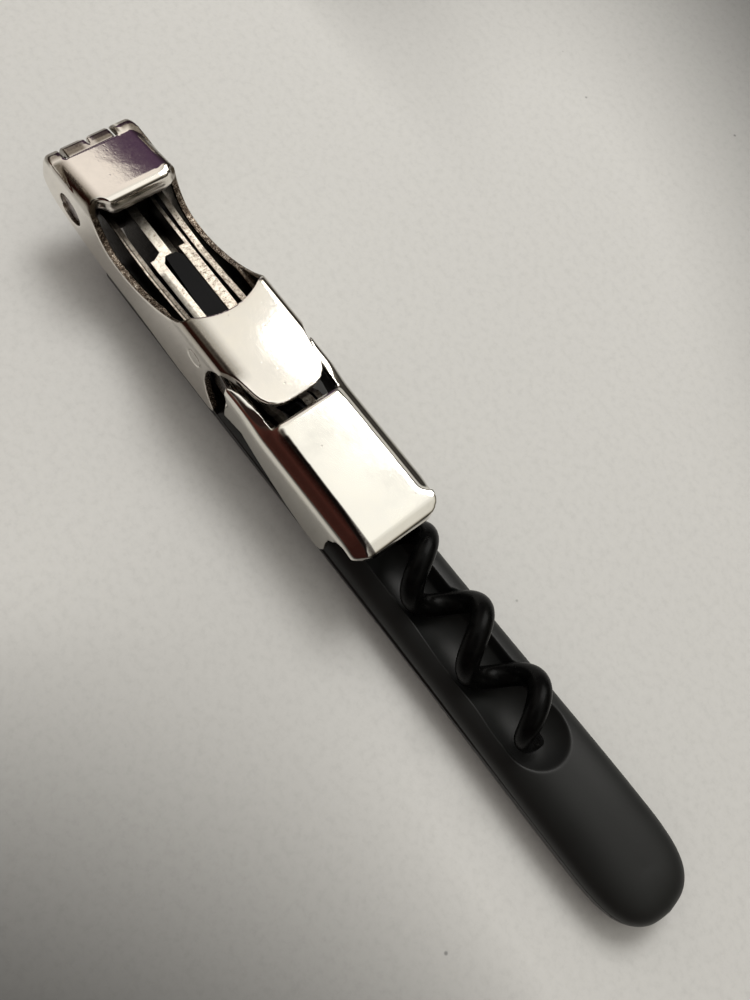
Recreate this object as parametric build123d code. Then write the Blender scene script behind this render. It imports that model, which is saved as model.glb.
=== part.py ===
from build123d import *
import math
import os

os.makedirs("parts", exist_ok=True)

# Two-step waiter's corkscrew, closed and lying on its back.
# Millimetres, +Z up. X runs from the lever hinge end to the butt of the handle,
# Y across the tool. The model is built from x = 0 at the hinge end and moved at
# the end so that the origin is the middle of the footprint, on the table.

LENGTH = 116.0
SHIFT = -LENGTH / 2

# levers
LEVER_HALF = 6.1           # outer half width of the short lever
LEVER_SHEET = 0.95
EAR_IN_LEFT, EAR_IN_RIGHT = -4.1, 3.2
PIN_X, PIN_Z = 6.0, 10.0   # lever hinge
PIN_R = 2.05
BOOT_X, BOOT_Z = 32.3, 12.5  # boot hinge
BOOT_R = 1.1
BOOT_HALF = 6.5
BOOT_SHEET = 0.85
ARM_IN, ARM_OUT = 4.2, 4.9
STEP_TOP = 17.0

# handle
SEAM_Z = 4.2
SHELL_TOP = 7.4
SLOT_HALF = 0.8            # knife slot
CHEEK_IN, CHEEK_OUT = 1.4, 2.8
CHEEK_TOP = 12.0
SIDE_IN, SIDE_OUT = 3.2, 4.1

# worm
WORM_X, WORM_Z = 44.8, 9.7
WORM_PITCH = 10.5
WORM_HELIX_R = 2.88
WORM_WIRE_R = 1.4
WORM_RIGHT_X = 64.55       # a point where the wire is furthest to +Y
WORM_PIN_R = 1.25
TROUGH_R = 5.05

# knife
KNIFE_X, KNIFE_Z = 108.0, 2.7
KNIFE_PIN_R = 1.1
KNIFE_HALF = 0.5


def slab(points, y0, y1):
    """Solid between y0 and y1 from a closed outline in X and Z."""
    plane = Plane(origin=(0, y1, 0), x_dir=(1, 0, 0), z_dir=(0, -1, 0))
    face = make_face(Polyline(*[(p[0], p[1]) for p in points], close=True))
    return extrude(plane * face, amount=y1 - y0)


def slab_edges(edges, y0, y1):
    plane = Plane(origin=(0, y1, 0), x_dir=(1, 0, 0), z_dir=(0, -1, 0))
    return extrude(plane * make_face(edges), amount=y1 - y0)


def plan(points, z0, z1):
    face = make_face(Polyline(*points, close=True))
    return extrude(Plane.XY.offset(z0) * face, amount=z1 - z0)


def rod(x, z, r, y0, y1):
    """Round bar along Y."""
    return Pos(x, (y0 + y1) / 2, z) * Rot(90, 0, 0) * Cylinder(r, y1 - y0)


def post(x, y, r, z0, z1):
    return Pos(x, y, (z0 + z1) / 2) * Cylinder(r, z1 - z0)


def block(x0, x1, y0, y1, z0, z1):
    return Pos((x0 + x1) / 2, (y0 + y1) / 2, (z0 + z1) / 2) * Box(x1 - x0, y1 - y0, z1 - z0)


def both(shape):
    return shape + mirror(shape, about=Plane.XZ)


def round_edges(shape, edges, radii):
    """Fillet with the first radius of the list that can be built."""
    for r in radii:
        try:
            out = fillet(edges, r)
            if out.is_valid and out.volume > 0:
                return out
        except Exception:
            continue
    return shape


def long_top_edges(shape, y, z_min, tol=0.02):
    out = []
    for e in shape.edges():
        b = e.bounding_box()
        if abs(b.min.Y - y) < tol and abs(b.max.Y - y) < tol and b.min.Z > z_min:
            out.append(e)
    return out


parts = {}

# ---------------------------------------------------------------- short lever
wall_outline = [
    (3.3, 15.3), (2.2, 15.35), (1.2, 14.7), (0.5, 13.5), (0.1, 12.0), (0.0, 10.6),
    (0.35, 9.2), (1.2, 8.1), (2.6, 7.3), (4.6, 6.8), (7.0, 6.35), (9.4, 5.9),
    (12.0, 5.55), (15.0, 5.5), (18.5, 5.45), (22.0, 5.2), (26.0, 4.75), (29.3, 4.45),
    (33.0, 4.4), (35.6, 4.4), (36.3, 4.7), (36.3, 5.3), (35.6, 6.4), (34.9, 7.9),
    (34.4, 10.0), (34.5, 12.0), (34.9, 13.3), (35.7, 14.5), (36.7, 15.5),
]
top_line = [(44.6, 15.5), (44.6, STEP_TOP), (14.0, STEP_TOP), (10.8, 16.7)]
outline = wall_outline + top_line
outer = slab(outline, -LEVER_HALF, LEVER_HALF)
for side_y, radii in ((-LEVER_HALF, [1.9, 1.8, 1.6, 1.3]), (LEVER_HALF, [1.35, 1.2, 1.0])):
    outer = round_edges(
        outer,
        [e for e in long_top_edges(outer, side_y, 15.2) if e.bounding_box().size.X > 3.0 and e.bounding_box().max.Z > 16.5],
        radii,
    )
# the ears are rounded over less
outer = round_edges(
    outer,
    [e for e in long_top_edges(outer, -LEVER_HALF, 11.9) + long_top_edges(outer, LEVER_HALF, 11.9) if e.bounding_box().max.X < 2.9],
    [0.7, 0.6, 0.5, 0.4],
)
inner_half = LEVER_HALF - LEVER_SHEET
t = LEVER_SHEET
inner_outline = [(-5, 2), (50, 2), (50, STEP_TOP - t), (14.1, STEP_TOP - t), (10.9, 16.7 - t), (3.3, 15.3 - t), (-5, 13.75 - t)]
inner = slab(inner_outline, -inner_half, inner_half)
inner = round_edges(
    inner,
    [e for e in long_top_edges(inner, -inner_half, 12.0) + long_top_edges(inner, inner_half, 12.0)
     if e.bounding_box().size.X > 3.0 and e.bounding_box().max.Z > 14.0],
    [0.95, 0.9, 0.8, 0.6],
)
lever = outer - inner

# crown cap window: cuts the plate and dips into both walls
window_edges = (
    Spline((10.7, 18.5), (10.85, 16.6), (12.0, 13.3), (14.2, 11.0), (16.6, 10.5), (19.5, 10.75), (23.0, 11.9),
           (26.8, 14.0), (29.6, 16.6), (30.6, 18.5))
    + Line((30.6, 18.5), (10.7, 18.5))
)
lever -= slab_edges(window_edges, -8, 8)
# past the far edge of the hinge plate the sheet is cut away between the ears, which reach round the pin
lever -= block(-3, 3.25, EAR_IN_LEFT, EAR_IN_RIGHT, 0, 20)
# two tabs stand behind the far edge, a step lower, with a V between them
tab_outline = [(3.7, 15.0), (2.4, 15.0), (1.5, 14.8), (0.85, 14.3), (0.45, 13.5), (0.35, 12.6), (1.3, 12.6), (1.35, 13.2),
               (1.7, 13.75), (2.3, 14.05), (3.7, 14.15)]
tabs = slab(tab_outline, -3.6, 2.85)
tabs -= plan([(-1, -0.1), (2.6, -0.25), (2.6, -0.45), (-1, -0.6)], 10, 16)
tabs -= Pos(0.35, -0.35, 14.6) * Rot(0, 0, 45) * Box(1.5, 1.5, 6)
lever += tabs
# concave far edge of the step plate
lever -= Pos(22.6, 0, 17) * Cylinder(8.6, 8) & block(25, 40, -LEVER_HALF + 0.5, LEVER_HALF - 0.5, 12, 20)
# curled lip on the near edge of the hinge plate, the tooth that grips a crown cap
lip = slab([(9.8, 16.5), (11.3, 16.72), (11.85, 16.6), (12.1, 16.2), (12.1, 15.4), (11.8, 15.05), (11.35, 15.2), (11.1, 15.65),
            (9.8, 15.55)], -4.75, 4.75)
lip &= plan([(9, -4.75), (10.8, -4.75), (10.95, -4.45), (11.25, -4.15), (11.65, -3.85), (11.95, -3.5), (12.1, -2.9), (12.1, 2.9),
             (11.95, 3.5), (11.65, 3.85), (11.25, 4.15), (10.95, 4.45), (10.8, 4.75), (9, 4.75)], 12, 18)
lever += lip
# tongue: the first step
half_plan = [
    (36.9, 6.6), (37.05, 5.9), (37.8, 5.5), (38.6, 5.2), (39.4, 5.0), (40.4, 4.82),
    (41.4, 4.68), (42.4, 4.45), (43.3, 3.95), (43.95, 3.15), (44.25, 2.2), (44.35, 1.0),
]
keep = [(-5, 6.6)] + half_plan + [(x, -y) for x, y in reversed(half_plan)] + [(-5, -6.6)]
lever &= plan(keep, 0, 20)
lever -= rod(PIN_X, PIN_Z, PIN_R + 0.07, -8, 8)
# the boot hinge pin is pressed through both walls and ground flush
lever -= rod(BOOT_X, BOOT_Z, BOOT_R, -8, 8)
parts["short_lever"] = lever
parts["boot_pivot_pin"] = rod(BOOT_X, BOOT_Z, BOOT_R, -LEVER_HALF + 0.02, LEVER_HALF - 0.02)

# ------------------------------------------------------------------ boot lever
boot_outline = [
    (38.45, 15.35), (38.6, 14.3), (39.0, 13.0), (39.5, 11.9), (40.4, 11.0), (43.1, 9.6), (46.0, 8.3),
    (49.0, 7.2), (52.0, 6.2), (55.1, 5.5), (57.4, 5.35), (58.5, 5.8), (58.9, 6.8), (58.8, 9.0),
    (59.0, 10.8), (59.9, 12.1), (61.4, 12.9), (63.2, 13.2), (64.2, 13.4), (64.3, 14.3),
    (63.6, 14.75), (60.0, 15.1), (50.0, 15.35),
]
boot_in = BOOT_HALF - BOOT_SHEET
# drawn section: wall, hollow flank, raised panel
skin = [(4.0, 15.95), (4.3, 15.86), (4.6, 15.62), (4.9, 15.27), (5.2, 14.92), (5.5, 14.6), (5.8, 14.3), (6.1, 14.02),
        (6.32, 13.8), (6.45, 13.55), (6.5, 13.2), (6.5, 0.0)]
liner = [(3.7, 15.05), (3.95, 14.9), (4.3, 14.5), (4.65, 14.1), (5.0, 13.75), (5.35, 13.4), (5.65, 12.9), (5.65, -1.0)]
# the right flank steps down from the panel and then slopes away
skin_right = [(4.25, 15.95), (4.5, 15.86), (4.66, 15.6), (4.74, 15.3), (4.86, 15.05), (5.1, 14.88), (5.5, 14.68), (5.9, 14.45),
              (6.2, 14.25), (6.4, 14.0), (6.5, 13.6), (6.5, 0.0)]
liner_right = [(3.8, 15.05), (3.92, 14.8), (4.05, 14.45), (4.4, 14.2), (4.85, 13.98), (5.3, 13.7), (5.65, 13.2), (5.65, -1.0)]
skin_heel = [(4.0, 15.4), (4.3, 15.4), (4.6, 15.4), (4.9, 15.4), (5.2, 15.39), (5.5, 15.36), (5.8, 15.3), (6.1, 15.15),
             (6.32, 14.9), (6.45, 14.6), (6.5, 14.2), (6.5, 0.0)]
liner_heel = [(3.7, 14.5), (3.95, 14.5), (4.3, 14.5), (4.65, 14.5), (5.0, 14.48), (5.35, 14.3), (5.65, 13.8), (5.65, -1.0)]


def section_at(left, x, right=None):
    """Face across the tool from half sections in Y and Z."""
    pts = (right or left) + [(-y, z) for y, z in reversed(left)]
    plane = Plane(origin=(x, 0, 0), x_dir=(0, 1, 0), z_dir=(1, 0, 0))
    return plane * make_face(Polyline(*pts, close=True))


def along(left, x0, x1, right=None):
    return extrude(section_at(left, x0, right), amount=x1 - x0)


def drawn_bar(heel, left, right, x0, x1):
    """Heel section up to x = 42.5, drawn section from 45.5."""
    return (along(heel, x0, 42.5) + loft([section_at(heel, 42.5), section_at(left, 45.5, right)], ruled=True)
            + along(left, 45.5, x1, right))


boot_side = boot_outline[:-3] + [(63.9, 14.8), (62.6, 15.3), (58.0, 15.7), (46.5, 15.95), (38.45, 15.95)]
boot = drawn_bar(skin_heel, skin, skin_right, 38.0, 64.4)
# the right corner of the lip comes out to the full width
boot += plan([(60.0, 4.2), (60.9, 4.75), (61.6, 5.5), (62.0, 6.5), (64.4, 6.5), (64.4, 4.2)], 13.3, 15.6)
boot &= slab(boot_side, -BOOT_HALF, BOOT_HALF)
boot_inner = drawn_bar(liner_heel, liner, liner_right, 30.0, 64.3)
boot_inner &= slab([(30, -1), (66, -1), (66, 13.7), (62.6, 14.3), (58.0, 14.75), (46.5, 15.05), (30, 15.05)], -7, 7)
boot -= boot_inner
# rounded corners of the lip
boot &= plan([(30, 7), (59.3, 7), (60.0, 6.4), (61.6, 6.15), (62.6, 5.85), (63.3, 5.4), (63.85, 4.7), (64.15, 3.9), (64.4, 3.0),
              (64.4, -3.0), (64.25, -4.6), (63.6, -5.6), (62.3, -7), (30, -7)], 0, 20)
# opening for the tongue, and the slit in front of the panel
slot_half = [
    (36.0, 6.1), (38.3, 6.1), (38.6, 5.95), (39.2, 5.55), (40.0, 5.2), (41.0, 5.0), (42.2, 4.9), (43.7, 4.85),
    (43.9, 4.95), (45.3, 4.95), (45.55, 4.5), (45.55, 0.0),
]
slot = plan(slot_half + [(x, -y) for x, y in reversed(slot_half[:-1])], 11.6, 20)
boot -= slot
# the panel's near edge is turned down, clear of the tongue as the boot swings up
web = slab([(46.4, 15.3), (46.4, 15.0), (46.15, 14.7), (46.05, 13.6), (45.45, 13.6), (45.4, 14.6), (45.5, 15.3)], -5.0, 5.0)
web &= along(skin, 38.0, 64.0, skin_right)
boot += web
# arms that run inside the short lever to the boot hinge
arm = slab([(31.2, 10.3), (32.3, 9.95), (34.0, 9.4), (36.0, 8.7), (38.9, 8.3), (39.3, 10.3), (38.5, 10.4), (37.2, 11.6),
            (35.6, 12.7), (34.6, 13.1), (33.4, 14.4), (32.3, 14.8), (31.0, 14.5), (30.1, 13.4), (29.9, 12.3), (30.3, 11.1)],
           ARM_IN, ARM_OUT)
arm &= block(20, 37.6, 0, 8, 0, 20)
joggle = plan([(37.4, ARM_IN), (37.6, ARM_IN), (39.4, boot_in), (42.5, boot_in), (42.5, BOOT_HALF), (39.0, BOOT_HALF),
               (37.4, ARM_OUT)], 8.2, 12.5)
joggle &= slab([(37.3, 8.9), (38.8, 9.0), (40.4, 9.5), (42.2, 10.0), (42.4, 10.4), (40.6, 11.6), (39.6, 12.4), (39.15, 11.5),
                (38.9, 10.5), (38.2, 10.7), (37.3, 11.5)], 0, 8)
boot += both(arm + joggle)
boot -= rod(BOOT_X, BOOT_Z, BOOT_R + 0.05, -8, 8)
parts["boot_lever"] = boot

# ---------------------------------------------------------------- hinge pin
pin = rod(PIN_X, PIN_Z, PIN_R, -5.6, 5.6)
parts["lever_pivot_pin"] = pin

washer = both(rod(PIN_X, PIN_Z, 3.6, 2.95, 3.5) - rod(PIN_X, PIN_Z, PIN_R + 0.05, 2, 4))
parts["lever_washers"] = washer

# --------------------------------------------------------------- frame cheeks
top_cut = [(30.0, 12.0), (30.9, 10.9), (34.4, 10.7), (36.2, 11.0)]
cheek_outline = [(19.2, 12.05)] + top_cut + [
    (42.4, 11.2), (43.4, 12.0), (44.8, 12.3), (46.2, 11.9), (47.2, 10.8), (47.5, 9.7), (47.6, 8.0), (47.6, 1.2), (15.0, 1.2),
    (12.6, 3.0), (11.0, 5.6), (9.6, 7.0), (9.6, 12.6), (12.0, 12.3),
]
main_plate = slab(cheek_outline, CHEEK_IN, CHEEK_OUT) & block(18.6, 60, 0, 5, 0, 20)
# the plates draw together towards the hinge
front = slab(cheek_outline, -0.2, 1.1) & block(0, 18.8, -1, 5, 0, 20)
joint = slab(cheek_outline, -0.2, CHEEK_OUT) & block(18.0, 19.6, -1, 5, 0, 20) & plan(
    [(18.0, -0.2), (18.4, -0.2), (18.75, 0.7), (19.6, 1.4), (19.6, 2.8), (18.9, 2.8), (18.0, 1.1)], 0, 20)
knuckle = rod(PIN_X, PIN_Z, 4.6, 0.25, 2.9)
knuckle -= slab([(0, 0), (12, 0), (12, 3), (0, 3)], 0, 1)
cheek = main_plate + front + joint + knuckle
cheek -= rod(PIN_X, PIN_Z, PIN_R, -8, 8)
cheek -= rod(WORM_X, WORM_Z, WORM_PIN_R, -8, 8)
RIVETS = [(25.0, 8.2), (37.5, 8.2)]
for x, z in RIVETS:
    cheek -= rod(x, z, 1.0, -8, 8)
chamfer_ring = rod(PIN_X, PIN_Z, 6, 0, 0.9) - Pos(PIN_X, 0.45, PIN_Z) * Rot(-90, 0, 0) * Cone(3.85, 4.6, 0.9)
cheek -= chamfer_ring & block(0, 9.5, 0, 1, 8, 16)
parts["frame_cheek_left"] = mirror(cheek, about=Plane.XZ)
# the right plate runs straight to its knuckle
straight = slab(cheek_outline, CHEEK_IN, CHEEK_OUT) & block(0, 60, 0, 5, 0, 20)
straight -= block(9.0, 18.4, CHEEK_IN - 1, 2.3, 8.6, 20)
cheek = straight + knuckle
cheek -= rod(PIN_X, PIN_Z, PIN_R, -8, 8)
cheek -= rod(WORM_X, WORM_Z, WORM_PIN_R, -8, 8)
for x, z in RIVETS:
    cheek -= rod(x, z, 1.0, -8, 8)
cheek -= chamfer_ring & block(0, 9.5, 0, 1, 8, 16)
parts["frame_cheek_right"] = cheek

spacer = plan([(18.8, -0.75), (23.0, -1.05), (27.0, -1.38), (41.5, -1.38), (41.5, 1.38), (19.7, 1.38), (18.8, 0.75)], 1.2, CHEEK_TOP - 0.1)
spacer &= slab([(18, 1.2), (42, 1.2), (42, 10.6), (36.2, 10.6), (34.4, 10.6), (30.9, 10.8), (30.1, CHEEK_TOP - 0.1), (18, CHEEK_TOP - 0.1)], -2, 2)
spacer -= plan([(18.0, -1.6), (19.0, -0.75), (19.7, -1.38), (27.0, -1.5), (27.0, -1.6)], 0, 20)
for x, z in RIVETS:
    spacer -= rod(x, z, 1.0, -8, 8)
parts["frame_spacer"] = spacer

# side plates of the frame, outside the cheeks
side_outline = [
    (9.9, 12.9), (13.0, 12.6), (16.0, 12.1), (20.0, 11.8), (25.0, 12.1), (29.3, 12.6), (29.9, 11.6), (30.6, 10.7), (34.4, 10.6),
    (36.2, 10.8), (42.6, 10.8), (43.4, 11.6), (44.8, 11.9), (46.2, 11.5), (46.9, 10.6), (47.1, 9.7), (47.1, 1.2), (16.0, 1.2),
    (13.0, 3.2), (11.2, 5.8), (9.9, 7.2),
]
side = slab(side_outline, SIDE_IN, SIDE_OUT) - rod(WORM_X, WORM_Z, WORM_PIN_R, -8, 8)
for x, z in RIVETS:
    side -= rod(x, z, 1.0, -8, 8)
parts["frame_plate_right"] = side
parts["frame_plate_left"] = mirror(side, about=Plane.XZ)
parts["frame_rivets"] = Compound([rod(x, z, 1.0, -SIDE_OUT, SIDE_OUT) for x, z in RIVETS])
parts["worm_pivot_pin"] = rod(WORM_X, WORM_Z, WORM_PIN_R, -SIDE_OUT, SIDE_OUT)
parts["worm_washers"] = both(rod(WORM_X, WORM_Z, 2.1, 0.98, 1.36) - rod(WORM_X, WORM_Z, WORM_PIN_R + 0.05, 0, 3))

# ------------------------------------------------------------------ the shells
# half width of the handle against x, at the seam
plan_pts = [(12.2, 5.55), (30.0, 5.7), (45.0, 5.7), (60.0, 5.72), (72.0, 5.76), (82.0, 5.87), (90.0, 6.02), (98.0, 6.14), (104.0, 6.17),
            (108.5, 6.08), (111.8, 5.6), (114.0, 4.6), (115.4, 2.9), (LENGTH, 0.0)]
half_curve = Spline(*plan_pts, tangents=((1, 0.0), (0, -1)))
lower_half = mirror(half_curve, about=Plane.XZ)
close = Line((12.2, -5.55), (12.2, 5.55))
footprint = make_face(half_curve + lower_half + close)
lower = extrude(footprint, amount=SEAM_Z)
bottom_edges = [e for e in lower.edges() if e.bounding_box().max.Z < 0.01]
lower = round_edges(lower, bottom_edges, [3.4, 3.2, 2.8, 2.2, 1.8, 1.5, 1.2])

upper = extrude(Plane.XY.offset(SEAM_Z) * footprint, amount=3.5)
top_edges = [e for e in upper.edges() if e.bounding_box().min.Z > SEAM_Z + 3.4 and e.bounding_box().size.X > 5]
upper = round_edges(upper, top_edges, [2.2, 2.0, 1.8, 1.5, 1.0])
upper &= block(36.6, 120, -10, 10, SEAM_Z, 20)
# under the boot the shell is lower and narrower
upper -= both(block(30, 61.2, 5.55, 8, 5.1, 20))
front_edges = [e for e in upper.edges() if abs(e.bounding_box().min.X - 36.6) < 0.01 and abs(e.bounding_box().max.X - 36.6) < 0.01
               and e.bounding_box().size.Z < 0.01 and e.bounding_box().max.Z > 5.0]
upper = round_edges(upper, front_edges, [1.6, 1.2, 0.8])

# trough for the worm with a round end
trough = Pos(66.0, 0, WORM_Z) * Rot(0, 90, 0) * Cylinder(TROUGH_R, 49.0)
trough += Pos(90.5, 0, WORM_Z) * Sphere(TROUGH_R)
upper -= trough
# pocket for the frame
frame_pocket = block(10, 48.1, -4.2, 4.2, 0.95, 20)
upper -= frame_pocket
lower -= frame_pocket
# screw bosses and screws
SCREWS = [(51.6, 3.2), (51.6, -3.2), (99.0, 3.6), (99.0, -3.6)]
for x, y in SCREWS:
    lower -= post(x, y, 0.8, -1, 6)
    lower -= post(x, y, 1.4, -1, 1.7)
    upper -= post(x, y, 0.8, 3, 5.35)
parts["shell_screws"] = Compound([
    (post(x, y, 0.8, 1.2, 5.3) + post(x, y, 1.38, 0.5, 1.65)) for x, y in SCREWS
])
# knife slot
lower -= block(56.0, 120, -SLOT_HALF, SLOT_HALF, -1, 4.6)
upper -= block(96.5, 120, -SLOT_HALF, SLOT_HALF, 0, 5.35)
lower -= rod(KNIFE_X, KNIFE_Z, KNIFE_PIN_R, -4.6, 4.6)
# pocket for the knife spring
upper -= block(94.9, 107.5, -1.3, 1.3, SEAM_Z, 5.4)
lower -= rod(64.0, 2.2, 0.7, -4.6, 4.6)
parts["handle_upper_shell"] = upper
parts["handle_lower_shell"] = lower

# ------------------------------------------------------------------------ worm
# right-hand helix whose first half turn opens out from the straight shank
helix_start, helix_full, helix_end = 48.0, 54.5, 87.5


def on_helix(x):
    """Centre of the wire; the coil stands off to +Y of the shank and draws in to the middle towards the tip."""
    a = 2 * math.pi * (x - WORM_RIGHT_X) / WORM_PITCH
    k = min(max((x - helix_start) / (helix_full - helix_start), 0.0), 1.0)
    k = k * k * (3 - 2 * k)
    off = min(0.85, 0.47 - 0.031 * (x - 75))
    return (x, k * (off + WORM_HELIX_R * math.cos(a)), WORM_Z + k * WORM_HELIX_R * math.sin(a))


steps = 96
wire_points = [(47.2, 0, WORM_Z)] + [on_helix(helix_start + (helix_end - helix_start) * i / steps) for i in range(steps + 1)]
wire_path = Spline(*wire_points)
wire = sweep(Plane(origin=wire_path @ 0, z_dir=wire_path % 0) * Circle(WORM_WIRE_R), path=wire_path)
# the last half turn tapers, curls in and is cut on a slant
tip_points = [on_helix(87.15), on_helix(87.7), on_helix(88.2), on_helix(88.8), (89.25, -1.72, 11.85), (89.62, -2.18, 11.1), (90.0, -2.46, 10.2),
              (90.5, -2.42, 9.2), (91.0, -2.0, 8.35), (91.3, -1.3, 7.8), (91.36, -0.5, 7.65), (91.3, 0.4, 7.7), (91.2, 1.4, 7.9)]
tip_path = Spline(*tip_points)
tip_sections = []
for i in range(24):
    u = i / 23
    point, along_wire = tip_path @ u, (tip_path % u).normalized()
    side = Vector(1, 0, 0) - along_wire * along_wire.X
    radius = 1.36 + (1.08 - 1.36) * min(1.0, u / 0.6)
    tip_sections.append(Plane(origin=point, x_dir=side, z_dir=along_wire) * Circle(radius))
tip = loft(tip_sections)
slant = Plane(origin=(91.3, -0.4, 7.7), z_dir=(-0.05, 0.8, 0.6))
tip -= slant * Box(14, 14, 8, align=(Align.CENTER, Align.CENTER, Align.MIN)) & block(88, 97, -1.2, 8, 3, 9.3)
wire += tip
eye = rod(WORM_X, WORM_Z, 2.45, -0.92, 0.92)
eye += slab([(44.8, 7.25), (46.6, 7.7), (48.2, 8.65), (48.2, 10.75), (46.6, 11.7), (44.8, 12.15)], -0.92, 0.92)
worm = wire + eye
worm -= rod(WORM_X, WORM_Z, WORM_PIN_R + 0.05, -3, 3)
parts["worm"] = worm

# ----------------------------------------------------------------------- knife
blade = [
    (59.0, 3.5), (61.5, 2.6), (66.0, 1.7), (72.0, 1.0), (80.0, 0.65), (92.0, 0.55), (100.0, 0.6), (104.5, 0.9), (107.0, 0.75),
    (108.7, 0.62), (109.7, 1.25), (110.2, 2.7), (109.75, 4.0), (108.7, 4.75), (107.3, 4.8), (106.2, 4.0), (104.0, 3.9),
    (100.0, 3.95), (80.0, 4.0), (64.0, 4.0), (60.6, 3.9),
]
knife = slab(blade, -KNIFE_HALF, KNIFE_HALF) - rod(KNIFE_X, KNIFE_Z, KNIFE_PIN_R + 0.05, -2, 2)
parts["knife_blade"] = knife
parts["knife_pivot_pin"] = rod(KNIFE_X, KNIFE_Z, KNIFE_PIN_R, -4.5, 4.5)
parts["knife_washers"] = both(rod(KNIFE_X, KNIFE_Z, 1.9, 0.54, 0.76) - rod(KNIFE_X, KNIFE_Z, KNIFE_PIN_R + 0.05, 0, 2))
parts["knife_spring"] = block(95.0, 107.0, -1.2, 1.2, 5.08, 5.36)

for name, shape in parts.items():
    if isinstance(shape, list) or isinstance(shape, ShapeList):
        shape = Compound(list(shape))
    moved = Pos(SHIFT, 0, 0) * shape
    export_step(moved, f"parts/{name}.step")
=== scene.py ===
import bpy
import math
import numpy as np
from mathutils import Vector, Matrix


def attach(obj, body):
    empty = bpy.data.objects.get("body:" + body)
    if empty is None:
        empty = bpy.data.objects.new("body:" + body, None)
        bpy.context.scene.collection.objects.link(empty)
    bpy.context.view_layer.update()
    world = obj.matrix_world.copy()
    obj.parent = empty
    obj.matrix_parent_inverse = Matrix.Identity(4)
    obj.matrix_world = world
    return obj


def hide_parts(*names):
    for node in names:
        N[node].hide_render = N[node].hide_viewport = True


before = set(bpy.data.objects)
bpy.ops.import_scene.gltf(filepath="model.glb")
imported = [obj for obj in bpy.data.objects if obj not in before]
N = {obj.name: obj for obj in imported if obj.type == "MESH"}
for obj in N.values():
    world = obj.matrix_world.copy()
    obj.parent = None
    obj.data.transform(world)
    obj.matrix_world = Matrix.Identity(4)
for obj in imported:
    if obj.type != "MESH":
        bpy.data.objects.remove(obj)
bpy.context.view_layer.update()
SC = bpy.context.scene

MM = 0.001
SHIFT = -58.0          # millimetres: x in the comments and tables below runs from 0 at the hinge end to 116 at the butt


def P(x, y, z):
    return Vector(((x + SHIFT) * MM, y * MM, z * MM))


# ------------------------------------------------------------------ mesh tools
def new_object(name, verts, faces, smooth=True):
    me = bpy.data.meshes.new(name)
    me.from_pydata([tuple(v) for v in verts], [], [tuple(int(i) for i in f) for f in faces])
    me.validate()
    me.update()
    if smooth:
        me.polygons.foreach_set("use_smooth", [True] * len(me.polygons))
    ob = bpy.data.objects.new(name, me)
    SC.collection.objects.link(ob)
    return ob


def evaluated_copy(src, name, modifiers=()):
    """A new object with src's mesh, after the given modifiers."""
    me = src.data.copy()
    ob = bpy.data.objects.new(name, me)
    SC.collection.objects.link(ob)
    for kind, settings in modifiers:
        m = ob.modifiers.new(kind, kind)
        for k, v in settings.items():
            setattr(m, k, v)
    bpy.context.view_layer.update()
    dg = bpy.context.evaluated_depsgraph_get()
    out = bpy.data.meshes.new_from_object(ob.evaluated_get(dg), preserve_all_data_layers=False, depsgraph=dg)
    ob.modifiers.clear()
    ob.data = out
    out.name = name
    if me.users == 0:
        bpy.data.meshes.remove(me)
    out.materials.clear()
    return ob


def get_co(me):
    co = np.zeros(len(me.vertices) * 3, np.float64)
    me.vertices.foreach_get("co", co)
    return co.reshape(-1, 3)


def set_co(me, co):
    me.vertices.foreach_set("co", co.astype(np.float32).ravel())
    me.update()


def get_edges(me):
    e = np.zeros(len(me.edges) * 2, np.int64)
    me.edges.foreach_get("vertices", e)
    return e.reshape(-1, 2)


def laplace(co, e, weight, iterations, lam=0.5, taubin=False):
    """Moves every vertex towards the mean of its neighbours, weight by weight."""
    n = len(co)
    deg = np.bincount(e.ravel(), minlength=n).astype(float)
    deg[deg == 0] = 1
    w = np.asarray(weight, float).reshape(-1, 1) if np.ndim(weight) else weight
    for k in range(iterations):
        for step in ((lam, -lam * 1.03) if taubin else (lam,)):
            acc = np.zeros_like(co)
            for c in range(3):
                acc[:, c] = np.bincount(e[:, 0], co[e[:, 1], c], n) + np.bincount(e[:, 1], co[e[:, 0], c], n)
            co = co + (acc / deg[:, None] - co) * step * w
    return co


def prism(points, lo, hi, axis="z"):
    """Closed prism: a plan outline between two heights, or a side outline between two values of y."""
    n = len(points)
    area2 = sum(points[i][0] * points[(i + 1) % n][1] - points[(i + 1) % n][0] * points[i][1] for i in range(n))
    pts = list(points) if area2 > 0 else list(points)[::-1]
    if axis == "z":
        verts = [(p[0], p[1], lo) for p in pts] + [(p[0], p[1], hi) for p in pts]
    else:
        verts = [(p[0], hi, p[1]) for p in pts] + [(p[0], lo, p[1]) for p in pts]
    faces = [tuple(reversed(range(n))), tuple(range(n, 2 * n))]
    faces += [(i, (i + 1) % n, n + (i + 1) % n, n + i) for i in range(n)]
    return verts, faces


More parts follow.
